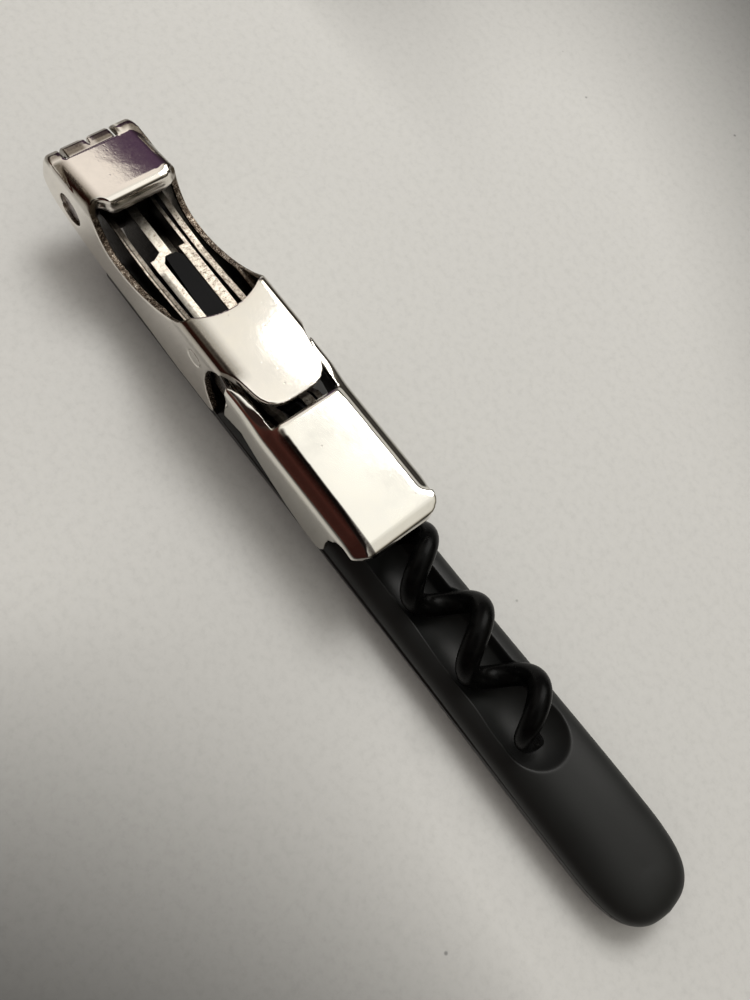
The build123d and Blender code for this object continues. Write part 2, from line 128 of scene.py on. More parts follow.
def sheet_metal(node, name, voxel, iters=5, zones=(), weld=0.00001, extra=()):
    """A remeshed copy of a CAD node, with its edges eased as stamping and plating leave them."""
    import bmesh
    ob = evaluated_copy(N[node], name + "_base", [("WELD", {"merge_threshold": weld})])
    bm = bmesh.new()
    bm.from_mesh(ob.data)
    for verts, faces in extra:
        vs = [bm.verts.new(P(*v)) for v in verts]
        for f in faces:
            bm.faces.new([vs[i] for i in f])
    bm.to_mesh(ob.data)
    bm.free()
    base = ob
    ob = evaluated_copy(base, name, [("REMESH", {"mode": "VOXEL", "voxel_size": voxel * MM, "use_smooth_shade": True})])
    old = base.data
    bpy.data.objects.remove(base)
    if old.users == 0:
        bpy.data.meshes.remove(old)
    me = ob.data
    co = get_co(me)
    e = get_edges(me)
    co = laplace(co, e, 1.0, iters, 0.5)
    for fn, it in zones:
        w = fn(co[:, 0] / MM - SHIFT, co[:, 1] / MM, co[:, 2] / MM)
        co = laplace(co, e, w, it, 0.5)
    set_co(me, co)
    me.polygons.foreach_set("use_smooth", [True] * len(me.polygons))
    return ob


def paint(ob, name, fn):
    """Vertex colours: 'cut' where the sheet's sheared edge shows, painted shade and painted dark reflections in the
    shade attribute, 'matte' where it is dull.
    """
    me = ob.data
    co = get_co(me)
    nn = np.zeros(len(me.vertices) * 3, np.float32)
    me.vertices.foreach_get("normal", nn)
    nn = nn.reshape(-1, 3)
    w = np.clip(fn(co[:, 0] / MM - SHIFT, co[:, 1] / MM, co[:, 2] / MM, nn), 0, 1)
    at = me.color_attributes.new(name, "FLOAT_COLOR", "POINT")
    col = np.ones((len(w), 4), np.float32)
    col[:, :3] = w[:, None]
    at.data.foreach_set("color", col.ravel())


def sstep(a, b, x):
    t = np.clip((x - a) / (b - a), 0, 1)
    return t * t * (3 - 2 * t)


# ------------------------------------------------------------------- materials
def tree(name):
    m = bpy.data.materials.new(name)
    m.use_nodes = True
    nt = m.node_tree
    nt.nodes.clear()
    out = nt.nodes.new("ShaderNodeOutputMaterial")
    bsdf = nt.nodes.new("ShaderNodeBsdfPrincipled")
    nt.links.new(bsdf.outputs[0], out.inputs[0])
    tc = nt.nodes.new("ShaderNodeTexCoord")
    return m, nt, bsdf, tc.outputs["Object"]


def noise(nt, vec, scale, detail=3.0, rough=0.5, dist=0.0):
    n = nt.nodes.new("ShaderNodeTexNoise")
    n.inputs["Scale"].default_value = scale
    n.inputs["Detail"].default_value = detail
    n.inputs["Roughness"].default_value = rough
    n.inputs["Distortion"].default_value = dist
    nt.links.new(vec, n.inputs["Vector"])
    return n.outputs["Fac"]


def voronoi(nt, vec, scale, feature="F1"):
    n = nt.nodes.new("ShaderNodeTexVoronoi")
    n.feature = feature
    n.inputs["Scale"].default_value = scale
    nt.links.new(vec, n.inputs["Vector"])
    return n.outputs["Distance"]


def ramp(nt, fac, stops):
    n = nt.nodes.new("ShaderNodeValToRGB")
    el = n.color_ramp.elements
    while len(el) < len(stops):
        el.new(0.5)
    for s, (p, c) in zip(el, stops):
        s.position = p
        s.color = (c[0], c[1], c[2], 1) if hasattr(c, "__len__") else (c, c, c, 1)
    nt.links.new(fac, n.inputs["Fac"])
    return n.outputs["Color"]


def mapr(nt, val, a, b, c, d):
    n = nt.nodes.new("ShaderNodeMapRange")
    n.inputs["From Min"].default_value = a
    n.inputs["From Max"].default_value = b
    n.inputs["To Min"].default_value = c
    n.inputs["To Max"].default_value = d
    nt.links.new(val, n.inputs["Value"])
    return n.outputs["Result"]


def math_(nt, op, a, b=None):
    n = nt.nodes.new("ShaderNodeMath")
    n.operation = op
    for i, v in enumerate((a, b)):
        if v is None:
            continue
        if isinstance(v, (int, float)):
            n.inputs[i].default_value = v
        else:
            nt.links.new(v, n.inputs[i])
    return n.outputs[0]


def mix(nt, fac, a, b):
    n = nt.nodes.new("ShaderNodeMix")
    n.data_type = "RGBA"
    if isinstance(fac, (int, float)):
        n.inputs[0].default_value = fac
    else:
        nt.links.new(fac, n.inputs[0])
    for i, v in ((6, a), (7, b)):
        if hasattr(v, "__len__"):
            n.inputs[i].default_value = (v[0], v[1], v[2], 1)
        else:
            nt.links.new(v, n.inputs[i])
    return n.outputs[2]


def bump(nt, height, strength, distance, normal=None):
    n = nt.nodes.new("ShaderNodeBump")
    n.inputs["Strength"].default_value = strength
    n.inputs["Distance"].default_value = distance
    nt.links.new(height, n.inputs["Height"])
    if normal is not None:
        nt.links.new(normal, n.inputs["Normal"])
    return n.outputs["Normal"]


def stretch(nt, vec, sx, sy, sz):
    n = nt.nodes.new("ShaderNodeMapping")
    n.inputs["Scale"].default_value = (sx, sy, sz)
    nt.links.new(vec, n.inputs["Vector"])
    return n.outputs["Vector"]


def nickel(name, base=(0.83, 0.79, 0.73), rough=0.13, pit=1.0, wave=1.0, cut=False, painted_shade_colour=(0.10, 0.078, 0.052)):
    m, nt, b, v = tree(name)
    blotch = noise(nt, v, 140.0, 4.0, 0.6)
    fine = noise(nt, v, 2600.0, 3.0, 0.6)
    col = ramp(nt, blotch, [(0.25, tuple(c * 0.90 for c in base)), (0.5, base), (0.8, (base[0] * 1.04, base[1] * 1.03, base[2] * 1.0))])
    specks = voronoi(nt, v, 900.0)
    spot = ramp(nt, specks, [(0.0, (0.30, 0.24, 0.19)), (0.05, (0.55, 0.48, 0.42)), (0.10, (1, 1, 1))])
    gate = ramp(nt, noise(nt, v, 420.0, 2.0), [(0.58, 1.0), (0.66, 0.0)])
    tint = mix(nt, gate, spot, (1, 1, 1))
    mul = nt.nodes.new("ShaderNodeMix")
    mul.data_type = "RGBA"
    mul.blend_type = "MULTIPLY"
    mul.inputs[0].default_value = 1.0
    nt.links.new(col, mul.inputs[6])
    nt.links.new(tint, mul.inputs[7])
    r = math_(nt, "ADD", mapr(nt, blotch, 0.3, 0.7, rough * 0.8, rough * 1.4), mapr(nt, fine, 0.3, 0.7, -0.01, 0.02))
    b.inputs["Metallic"].default_value = 1.0
    h1 = bump(nt, noise(nt, v, 230.0, 3.0, 0.55), 0.22 * wave, 0.00006)
    h2 = bump(nt, noise(nt, v, 1500.0, 4.0, 0.65), 0.16 * pit, 0.00002, h1)
    h3 = bump(nt, ramp(nt, specks, [(0.0, 0.0), (0.16, 1.0)]), 0.25 * pit, 0.00001, h2)
    colour, normal = mul.outputs[2], h3
    if cut:
        at = nt.nodes.new("ShaderNodeAttribute")
        at.attribute_name = "cut"
        k = at.outputs["Fac"]
        tear = noise(nt, v, 4600.0, 5.0, 0.72, 0.5)
        coarse = noise(nt, v, 1500.0, 3.0, 0.6)
        t = math_(nt, "ADD", math_(nt, "MULTIPLY", tear, 0.6), math_(nt, "MULTIPLY", coarse, 0.4))
        torn = ramp(nt, t, [(0.43, (0.05, 0.037, 0.028)), (0.51, (0.15, 0.113, 0.085)), (0.58, (0.42, 0.36, 0.29)), (0.70, (0.86, 0.82, 0.74))])
        colour = mix(nt, k, colour, torn)
        r = math_(nt, "ADD", r, math_(nt, "MULTIPLY", k, mapr(nt, tear, 0.3, 0.7, 0.08, 0.30)))
        h4 = bump(nt, math_(nt, "MULTIPLY", t, k), 0.9, 0.00018, h3)
        normal = h4
        # painted shade and painted dark reflection: this attribute mixes the plating towards the shade colour passed
        # in, and makes it a little rougher
        at = nt.nodes.new("ShaderNodeAttribute")
        at.attribute_name = "painted_shade"
        d = math_(nt, "MINIMUM", math_(nt, "MULTIPLY", at.outputs["Fac"], mapr(nt, tear, 0.3, 0.7, 0.9, 1.1)), 1.0)
        colour = mix(nt, d, colour, painted_shade_colour)
        at = nt.nodes.new("ShaderNodeAttribute")
        at.attribute_name = "matte"
        r = math_(nt, "ADD", r, math_(nt, "ADD", math_(nt, "MULTIPLY", at.outputs["Fac"], 0.24), math_(nt, "MULTIPLY", d, 0.10)))
    nt.links.new(colour, b.inputs["Base Color"])
    nt.links.new(r, b.inputs["Roughness"])
    nt.links.new(normal, b.inputs["Normal"])
    return m


def edge_steel(name, base=(0.72, 0.70, 0.66), shift=0.0, bands=None, bands_from=0.0):
    """Blanked plate: dark sides, and edges torn bright and brown where they were sheared."""
    m, nt, b, v = tree(name)
    tc = nt.nodes.new("ShaderNodeTexCoord")
    sep = nt.nodes.new("ShaderNodeSeparateXYZ")
    nt.links.new(tc.outputs["Normal"], sep.inputs[0])
    up = mapr(nt, math_(nt, "ABSOLUTE", sep.outputs["Y"]), 0.75, 0.35, 0.0, 1.0)
    tear = noise(nt, stretch(nt, v, 1.0, 0.8, 0.6), 5600.0, 5.0, 0.72, 0.6)
    coarse = noise(nt, v, 1900.0, 3.0, 0.6)
    t = math_(nt, "ADD", math_(nt, "MULTIPLY", tear, 0.6), math_(nt, "MULTIPLY", coarse, 0.4))
    k = shift
    torn = ramp(nt, t, [(0.34 + k, (0.08, 0.06, 0.048)), (0.40 + k, (0.34, 0.28, 0.225)), (0.47 + k, (0.62, 0.56, 0.47)), (0.60 + k, (0.84, 0.79, 0.70))])
    side = ramp(nt, coarse, [(0.3, tuple(c * 0.08 for c in base)), (0.55, tuple(c * 0.16 for c in base)), (0.75, tuple(c * 0.30 for c in base))])
    # the plates lie in shade under the hinge plate's lip and under the boot
    place = nt.nodes.new("ShaderNodeSeparateXYZ")
    nt.links.new(v, place.inputs[0])
    fade = math_(nt, "MULTIPLY", mapr(nt, place.outputs[0], (13.8 + SHIFT) * MM, (17.6 + SHIFT) * MM, 0.07, 1.0),
                 mapr(nt, place.outputs[0], (38.0 + SHIFT) * MM, (41.0 + SHIFT) * MM, 1.0, 0.22))
    # painted shade across y: from bands_from on, strips are darkened by the listed factors; where a factor stays near 1
    # a thin bright line is left, a painted highlight
    if bands:
        lo, hi = bands[0][0], bands[-1][0]
        u = mapr(nt, place.outputs[1], lo * MM, hi * MM, 0.0, 1.0)
        strip = ramp(nt, u, [((y - lo) / (hi - lo), g) for y, g in bands])
        near = mapr(nt, place.outputs[0], (bands_from + SHIFT) * MM, (bands_from + 0.6 + SHIFT) * MM, 0.0, 1.0)
        fade = math_(nt, "MULTIPLY", fade, math_(nt, "ADD", math_(nt, "SUBTRACT", 1.0, near), math_(nt, "MULTIPLY", near, strip)))
    col = mix(nt, up, side, torn)
    shadow = mix(nt, fade, (0.012, 0.010, 0.008), col)
    nt.links.new(shadow, b.inputs["Base Color"])
    b.inputs["Metallic"].default_value = 1.0
    nt.links.new(mapr(nt, tear, 0.3, 0.7, 0.24, 0.46), b.inputs["Roughness"])
    h1 = bump(nt, coarse, 0.4, 0.00008)
    h2 = bump(nt, tear, 0.6, 0.00005, h1)
    nt.links.new(h2, b.inputs["Normal"])
    return m


def soft_black(name, base=(0.0088, 0.0092, 0.0088), rough=0.45, grain=1.0, spec=0.28):
    m, nt, b, v = tree(name)
    cloud = noise(nt, v, 60.0, 4.0, 0.6)
    fine = noise(nt, v, 5200.0, 2.0, 0.5)
    col = ramp(nt, cloud, [(0.3, tuple(c * 0.82 for c in base)), (0.7, tuple(c * 1.22 for c in base))])
    nt.links.new(col, b.inputs["Base Color"])
    nt.links.new(math_(nt, "ADD", mapr(nt, cloud, 0.3, 0.7, rough - 0.03, rough + 0.05), mapr(nt, fine, 0.3, 0.7, -0.03, 0.03)), b.inputs["Roughness"])
    b.inputs["Specular IOR Level"].default_value = spec
    h1 = bump(nt, noise(nt, v, 700.0, 3.0, 0.6), 0.05 * grain, 0.00005)
    h2 = bump(nt, fine, 0.16 * grain, 0.00002, h1)
    nt.links.new(h2, b.inputs["Normal"])
    return m


def coated(name):
    m, nt, b, v = tree(name)
    n1 = noise(nt, v, 900.0, 4.0, 0.6)
    nt.links.new(ramp(nt, n1, [(0.3, (0.0013, 0.0013, 0.0013)), (0.7, (0.0032, 0.0032, 0.003))]), b.inputs["Base Color"])
    nt.links.new(mapr(nt, n1, 0.3, 0.7, 0.24, 0.33), b.inputs["Roughness"])
    b.inputs["Specular IOR Level"].default_value = 0.05
    b.inputs["Coat Weight"].default_value = 0.0
    b.inputs["Coat Roughness"].default_value = 0.2
    h = bump(nt, noise(nt, v, 420.0, 4.0, 0.65), 0.20, 0.00006)
    nt.links.new(bump(nt, n1, 0.12, 0.00002, h), b.inputs["Normal"])
    return m


def plain_steel(name, base=(0.62, 0.60, 0.58), rough=0.28, turned=False):
    m, nt, b, v = tree(name)
    vv = stretch(nt, v, 1.0, 14.0 if turned else 1.0, 1.0)
    n1 = noise(nt, vv, 1800.0 if not turned else 700.0, 4.0, 0.6)
    n2 = noise(nt, v, 300.0, 3.0)
    nt.links.new(ramp(nt, n2, [(0.3, tuple(c * 0.7 for c in base)), (0.7, base)]), b.inputs["Base Color"])
    b.inputs["Metallic"].default_value = 1.0
    nt.links.new(mapr(nt, n1, 0.3, 0.7, rough - 0.06, rough + 0.08), b.inputs["Roughness"])
    nt.links.new(bump(nt, n1, 0.25, 0.00003), b.inputs["Normal"])
    return m


def polymer(name, base=(0.02, 0.02, 0.022), rough=0.42):
    m, nt, b, v = tree(name)
    n1 = noise(nt, v, 1200.0, 3.0)
    nt.links.new(ramp(nt, n1, [(0.3, tuple(c * 0.8 for c in base)), (0.7, tuple(c * 1.2 for c in base))]), b.inputs["Base Color"])
    nt.links.new(mapr(nt, n1, 0.3, 0.7, rough - 0.05, rough + 0.06), b.inputs["Roughness"])
    nt.links.new(bump(nt, n1, 0.12, 0.00003), b.inputs["Normal"])
    return m


def blade_steel(name):
    m, nt, b, v = tree(name)
    n1 = noise(nt, stretch(nt, v, 0.08, 1.0, 1.6), 5200.0, 3.0, 0.6)
    n2 = noise(nt, v, 160.0, 3.0)
    nt.links.new(ramp(nt, n2, [(0.3, (0.50, 0.50, 0.50)), (0.7, (0.66, 0.66, 0.65))]), b.inputs["Base Color"])
    b.inputs["Metallic"].default_value = 1.0
    nt.links.new(mapr(nt, n1, 0.3, 0.7, 0.22, 0.38), b.inputs["Roughness"])
    nt.links.new(bump(nt, n1, 0.3, 0.00002), b.inputs["Normal"])
    return m


def put(ob, *mats):
    ob.data.materials.clear()
    for m in mats:
        ob.data.materials.append(m)


SIDE_IN, SIDE_OUT = 3.2, 4.1
# painted shade and painted highlight on the left side plate: dark strips, with a thin bright line left along its outer
# edge and dimmer ones near its inner edge
LEFT_SHADE_BANDS = ((-SIDE_OUT, 0.9), (-SIDE_OUT + 0.22, 1.0), (-SIDE_OUT + 0.3, 0.08), (-SIDE_IN - 0.55, 0.08), (-SIDE_IN - 0.42, 0.5), (-SIDE_IN - 0.1, 0.4), (-SIDE_IN, 0.1))
MAT = {
    "lever": nickel("nickel_lever", rough=0.05, wave=0.2, cut=True),
    # the boot's near-black shade colour is what its painted shade and painted reflection are mixed towards
    "boot": nickel("nickel_boot", base=(0.81, 0.785, 0.725), rough=0.08, cut=True, painted_shade_colour=(0.035, 0.028, 0.024)),
    "pin_flush": nickel("nickel_pin"),
    "edge": edge_steel("sheared_plate", shift=0.03),
    # painted shade on the left cheek: darkened towards its outer side from x 20.4 on
    "edge_cheek": edge_steel("sheared_left_cheek", shift=-0.04, bands=((-2.85, 0.12), (-2.5, 0.30), (-2.2, 0.45), (-2.05, 1.0), (-1.35, 1.0)), bands_from=20.4),
    "edge_side": edge_steel("sheared_side_plate", base=(0.58, 0.55, 0.52), shift=0.05),
    "edge_left": edge_steel("shaded_side_plate", base=(0.46, 0.43, 0.40), shift=0.05, bands=LEFT_SHADE_BANDS),
    "upper": soft_black("soft_black"),
    "lower": soft_black("moulded_black", base=(0.0085, 0.0088, 0.0085), rough=0.36, spec=0.5),
    "spacer": soft_black("spacer_black", base=(0.003, 0.003, 0.0033), rough=0.6, grain=1.6, spec=0.13),
    "worm": coated("worm_coating"),
    "ground": polymer("ground_tip", (0.46, 0.455, 0.44), 0.3),
    "pin": plain_steel("turned_pin", (0.36, 0.32, 0.31), 0.3, True),
    "steel": plain_steel("plain_steel"),
    "screw": plain_steel("blackened_screw", (0.16, 0.16, 0.165), 0.36),
    "polymer": polymer("slick_polymer"),
    "blade": blade_steel("blade"),
}

# ------------------------------------------------------------------ CAD nodes
BEVEL = {
    "frame_cheek_left": ("edge_cheek", 0.10), "frame_cheek_right": ("edge", 0.10),
    "frame_plate_left": ("edge_left", 0.10), "frame_plate_right": ("edge_side", 0.10),
    "frame_spacer": ("spacer", 0.12), "frame_rivets": ("steel", 0.08), "shell_screws": ("screw", 0.08),
    "lever_pivot_pin": ("pin", 0.18), "lever_washers": ("polymer", 0.05), "worm_pivot_pin": ("steel", 0.10),
    "worm_washers": ("polymer", 0.04), "knife_blade": ("blade", 0.05), "knife_pivot_pin": ("steel", 0.10),
    "knife_washers": ("polymer", 0.03), "knife_spring": ("steel", 0.05), "boot_pivot_pin": ("pin_flush", 0.03),
    "handle_lower_shell": ("lower", 0.12), "short_lever": ("lever", 0.1), "boot_lever": ("boot", 0.1),
    "handle_upper_shell": ("upper", 0.1), "worm": ("worm", 0.05),
}
REPLACED = set()
for node, (key, width) in BEVEL.items():
    ob = N[node]
    put(ob, MAT[key])


def bevel_node(node, width):
    ob = N[node]
    w = ob.modifiers.new("weld", "WELD")
    w.merge_threshold = 0.00001
    d = ob.modifiers.new("planar", "DECIMATE")
    d.decimate_type = "DISSOLVE"
    d.angle_limit = math.radians(0.6)
    b = ob.modifiers.new("ease", "BEVEL")
    b.limit_method = "ANGLE"
    b.angle_limit = math.radians(32)
    b.width = width * MM
    b.segments = 3
    b.harden_normals = True
    b.use_clamp_overlap = True


# ------------------------------------------------------------ the two levers
def ears(x, y, z):
    """The hinge end's ears and the bends beside them are rounded off more."""
    a = np.abs(y)
    return sstep(14.9, 15.5, z) * (1 - sstep(2.9, 3.4, x)) * sstep(3.7, 4.1, a)


def near_lip(x, y, z):
    return sstep(8.8, 9.8, x) * (1 - sstep(12.9, 13.4, x)) * sstep(14.0, 14.4, z) * sstep(3.6, 4.4, np.abs(y)) * (1 - sstep(5.9, 6.05, np.abs(y)))


# the sheet's thickness runs on from the walls round under the near lip of the hinge plate
LIP = [(9.5, -5.95), (10.3, -5.95), (10.5, -5.5), (10.62, -4.95), (10.85, -4.53), (11.36, -4.08), (11.9, -3.7), (12.2, -3.3), (12.32, -2.7), (12.34, 3.9),
       (12.2, 4.76), (11.8, 5.4), (11.3, 5.95), (10.4, 5.95), (10.9, 5.2), (11.4, 4.4), (11.5, 3.6), (11.5, -2.4), (11.2, -3.0), (10.6, -3.5),
       (10.1, -4.1), (9.7, -4.8)]
SIDE_LIP = [(9.6, 16.35), (11.3, 16.66), (11.85, 16.54), (12.1, 16.2), (12.15, 14.9), (9.6, 14.9)]
short = sheet_metal("short_lever", "short_lever_skin", 0.11, 5, [(ears, 60), (near_lip, 30)],
                    extra=[prism(LIP, 14.5, 15.3), prism(SIDE_LIP, 2.6, 4.7, "y"),
                           prism([(8.4, 16.2), (11.3, 16.5), (11.75, 16.2), (11.75, 14.9), (8.4, 14.9)], 4.4, 5.3, "y"),
                           prism([(8.4, 16.1), (10.2, 16.25), (10.6, 15.9), (10.65, 14.9), (8.4, 14.9)], -5.3, -4.5, "y")])
def short_cut(x, y, z, n):
    a, ny, nx = np.abs(y), np.abs(n[:, 1]), np.abs(n[:, 0])
    wall = sstep(5.0, 5.15, a) * (1 - sstep(0.35, 0.7, ny)) * (1 - sstep(15.9, 16.4, z)) * sstep(4.0, 6.0, x)
    plate = sstep(0.6, 0.85, nx) * (1 - sstep(4.9, 5.2, a)) * sstep(25.0, 26.0, x) * 0.8
    return np.maximum(wall, plate)


# painted shade and painted reflection on the short lever: its left and right bends, the ears' rims, the tabs and the
# walls' inner faces are darkened; at the tabs' V the darkening is lighter, a painted glint
def short_painted_shade(x, y, z, n):
    upper = sstep(14.0, 14.8, z)
    wall = 1 - 0.55 * (1 - sstep(-6.0, -5.75, y))
    left = (1 - sstep(-5.35, -3.7, y)) * wall * upper
    bend = (1 - sstep(-5.2, -2.9, y)) * wall * upper
    hinge_left = left * sstep(2.8, 3.6, x) * (1 - sstep(11.0, 12.0, x)) * 0.92
    step_left = bend * sstep(25.0, 27.0, x) * (1 - sstep(38.0, 40.5, x)) * 0.85
    right = sstep(4.5, 5.3, y) * upper * np.maximum((1 - sstep(11.0, 12.5, x)) * 0.85, sstep(26.0, 28.0, x) * (1 - sstep(39.0, 41.0, x)) * 0.6)
    ear = (1 - sstep(2.4, 3.3, x)) * sstep(14.0, 14.9, z) * sstep(3.9, 4.3, np.abs(y)) * 0.75
    tab = (1 - sstep(2.7, 3.2, x)) * (1 - sstep(3.6, 3.8, np.abs(y))) * (0.35 + 0.5 * sstep(0.5, 1.1, np.abs(y + 0.35)))
    inside = sstep(0.15, 0.5, -n[:, 1] * np.sign(y)) * sstep(4.6, 4.9, np.abs(y)) * (1 - sstep(14.6, 15.2, z)) * 0.86
    return np.maximum.reduce([hinge_left, step_left, right, ear, tab, inside])


def short_matte(x, y, z, n):
    return sstep(9.6, 10.4, x) * (1 - sstep(13.0, 13.6, x)) * (1 - sstep(15.9, 16.25, z)) * sstep(13.5, 14.2, z)


paint(short, "cut", short_cut)
paint(short, "painted_shade", short_painted_shade)
paint(short, "matte", short_matte)
put(short, MAT["lever"])
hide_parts("short_lever")
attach(short, "short_lever")


def drawn(x, y, z):
    """The boot's drawn top, away from the cut edges round the tongue."""
    a = np.abs(y)
    return sstep(12.9, 13.9, z) * np.maximum(sstep(45.0, 45.4, x), sstep(5.3, 6.0, a) * sstep(38.6, 40.0, x)) * (1 - sstep(62.3, 63.1, x))


def crest(x, y, z):
    """The left flank rolls over softly into the wall."""
    return sstep(40.5, 44.0, x) * (1 - sstep(60.5, 62.5, x)) * (1 - sstep(-5.6, -5.0, y)) * sstep(11.8, 12.6, z)


def brow(x, y, z):
    """The panel's far edge is drawn over in a soft radius."""
    return sstep(44.8, 45.1, x) * (1 - sstep(46.6, 47.4, x)) * (1 - sstep(4.6, 5.0, np.abs(y))) * sstep(13.2, 13.6, z)


boot = sheet_metal("boot_lever", "boot_lever_skin", 0.11, 5, [(drawn, 45), (crest, 110), (brow, 60)])
def boot_cut(x, y, z, n):
    a, ny, nx = np.abs(y), np.abs(n[:, 1]), np.abs(n[:, 0])
    wall = sstep(5.5, 5.7, a) * (1 - sstep(0.35, 0.7, ny)) * (1 - sstep(12.6, 13.2, z)) * (1 - sstep(-0.2, 0.3, n[:, 2]))
    return wall * 0.9


# painted shade and painted reflection on the boot: the groove's left flank darkens to near black, the walls' insides
# are dark, and the left roll and both outer walls are darkened a little
def boot_painted_shade(x, y, z, n):
    flank = sstep(-5.5, -4.55, y) * (1 - sstep(-4.3, -4.1, y)) * sstep(45.8, 47.5, x) * 0.92
    flank = np.maximum(flank, (1 - sstep(-4.35, -4.2, y)) * sstep(58.0, 62.5, x) * sstep(13.4, 14.0, z) * 0.6)
    inside = np.maximum((1 - sstep(5.5, 5.62, np.abs(y))) * (1 - sstep(14.1, 14.5, z)), sstep(0.1, 0.4, -n[:, 1] * np.sign(y))) * 0.88
    roll = (1 - sstep(-5.6, -4.6, y)) * sstep(-6.45, -5.75, y) * sstep(13.0, 13.5, z) * sstep(44.0, 46.0, x) * 0.5
    outer_right = sstep(5.6, 6.1, y) * 0.35
    outer_left = (1 - sstep(-6.4, -6.1, y)) * (1 - sstep(12.8, 13.4, z)) * 0.16
    return np.maximum.reduce([flank, inside, roll, outer_right, outer_left])


def boot_matte(x, y, z, n):
    return 0.0 * x


paint(boot, "cut", boot_cut)
paint(boot, "painted_shade", boot_painted_shade)
paint(boot, "matte", boot_matte)
put(boot, MAT["boot"])
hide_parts("boot_lever")
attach(boot, "boot_lever")

for node in ("frame_cheek_left", "frame_cheek_right", "frame_plate_left", "frame_plate_right", "frame_spacer", "frame_rivets",
             "shell_screws", "lever_pivot_pin", "lever_washers", "worm_pivot_pin", "worm_washers", "knife_pivot_pin",
             "knife_washers", "knife_spring", "handle_lower_shell", "knife_blade", "boot_pivot_pin"):
    bevel_node(node, BEVEL[node][1])

# ------------------------------------------------------------------- the worm
PITCH, HR, WR, RIGHT_X, WX, WZ = 10.5, 2.88, 1.4, 64.55, 44.8, 9.7
H0, H1, HEND = 48.0, 54.5, 88.8
TIP = [(89.25, -1.72, 11.85), (89.62, -2.18, 11.1), (90.0, -2.46, 10.2), (90.5, -2.42, 9.2), (91.0, -2.0, 8.35),
       (91.3, -1.3, 7.8), (91.36, -0.5, 7.65), (91.3, 0.4, 7.7), (91.2, 1.3, 7.9)]
SLANT_P, SLANT_N = np.array([91.3, -0.4, 7.7]), np.array([-0.05, 0.8, 0.6])


def worm_centre(x):
    """The coil stands off to +Y of the shank and draws in to the middle towards the tip."""
    a = 2 * math.pi * (x - RIGHT_X) / PITCH
    k = min(max((x - H0) / (H1 - H0), 0), 1)
    k = k * k * (3 - 2 * k)
    off = min(0.85, 0.47 - 0.031 * (x - 75))
    return np.array([x, k * (off + HR * math.cos(a)), WZ + k * HR * math.sin(a)])


def resample(pts, n):
    """Centripetal Catmull-Rom through points, evenly spaced."""
    p = np.array(pts, float)
    ext = np.vstack([2 * p[0] - p[1], p, 2 * p[-1] - p[-2]])
    out = []
    for i in range(1, len(ext) - 2):
        p0, p1, p2, p3 = ext[i - 1:i + 3]
        k = np.sqrt([np.linalg.norm(p1 - p0), np.linalg.norm(p2 - p1), np.linalg.norm(p3 - p2)])
        t1, t2, t3 = k[0], k[0] + k[1], k.sum()
        for t in np.linspace(t1, t2, 24, endpoint=False):
            a1 = (t1 - t) / t1 * p0 + t / t1 * p1
            a2 = (t2 - t) / (t2 - t1) * p1 + (t - t1) / (t2 - t1) * p2
            a3 = (t3 - t) / (t3 - t2) * p2 + (t - t2) / (t3 - t2) * p3
            b1 = (t2 - t) / t2 * a1 + t / t2 * a2
            b2 = (t3 - t) / (t3 - t1) * a2 + (t - t1) / (t3 - t1) * a3
            out.append((t2 - t) / (t2 - t1) * b1 + (t - t1) / (t2 - t1) * b2)
    out.append(p[-1])
    out = np.array(out)
    s = np.concatenate([[0], np.cumsum(np.linalg.norm(np.diff(out, axis=0), axis=1))])
    u = np.linspace(0, s[-1], n)
    return np.stack([np.interp(u, s, out[:, i]) for i in range(3)], 1)


def worm_line():
    """Centre line of the wire and its radius."""
    xs = np.concatenate([np.linspace(47.0, 50.0, 14), np.linspace(50.0, HEND, 320)[1:]])
    helix = np.array([worm_centre(x) for x in xs])
    near = [worm_centre(x) for x in (87.2, 87.7, 88.2, 88.8)]
    tip = resample(near + TIP, 130)
    tip = tip[int(np.argmin(np.linalg.norm(tip - near[-1], axis=1))):]
    c = np.vstack([helix[:-1], tip])
    s = np.concatenate([[0], np.cumsum(np.linalg.norm(np.diff(c, axis=0), axis=1))])
    s0, s1 = s[len(helix) - 14], s[-1]
    r = WR + (1.08 - WR) * sstep(0.0, 0.75, (s - s0) / (s1 - s0))
    return c, r


